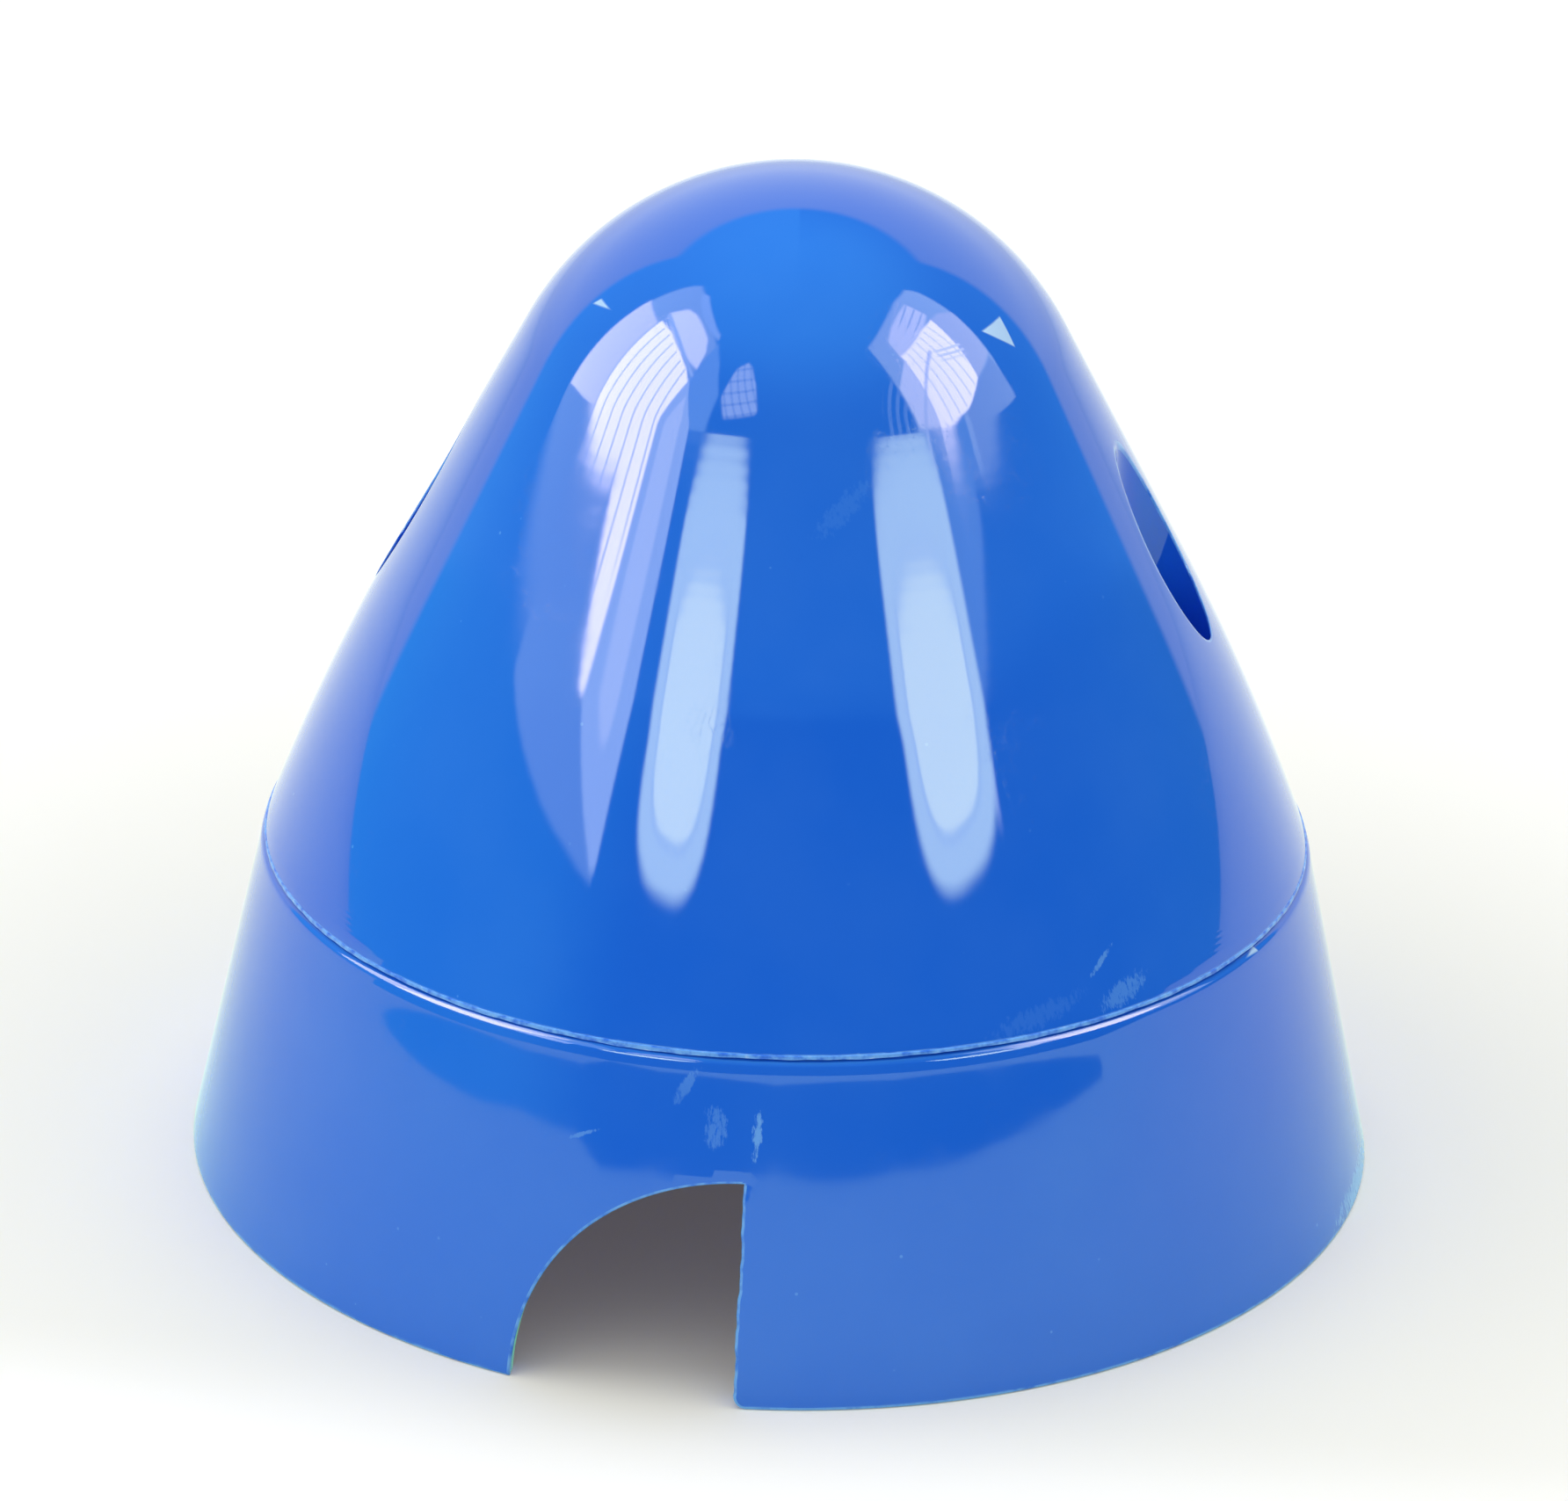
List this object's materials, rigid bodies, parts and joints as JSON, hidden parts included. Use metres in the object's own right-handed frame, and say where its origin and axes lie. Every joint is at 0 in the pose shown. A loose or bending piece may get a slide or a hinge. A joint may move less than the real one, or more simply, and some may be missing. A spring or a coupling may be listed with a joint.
{
  "type": "propeller spinner",
  "caption": "Moulded propeller spinner: a rounded nose cone with screw wells seats on a rear skirt that has D-shaped blade cut-outs and a shaft hole.",
  "frame": {"origin": "centre of the rear rim's plane, on the shaft's axis", "axes": "+Z along the shaft's axis towards the nose; the screws lie on the X axis, and the blade cut-outs span the Y axis, with their straight edges 2.1 mm to one side of it"},
  "size_m": [0.057, 0.0568, 0.0491],
  "materials": {
    "blue_plastic": "glossy injection-moulded nylon, straight from a polished mould",
    "screw_steel": "bright zinc plating"
  },
  "bodies": {
    "root": {"nose_cone": "blue_plastic", "rear_skirt": "blue_plastic", "cone_screw_right": "screw_steel", "cone_screw_left": "screw_steel"}
  },
  "joints": []
}
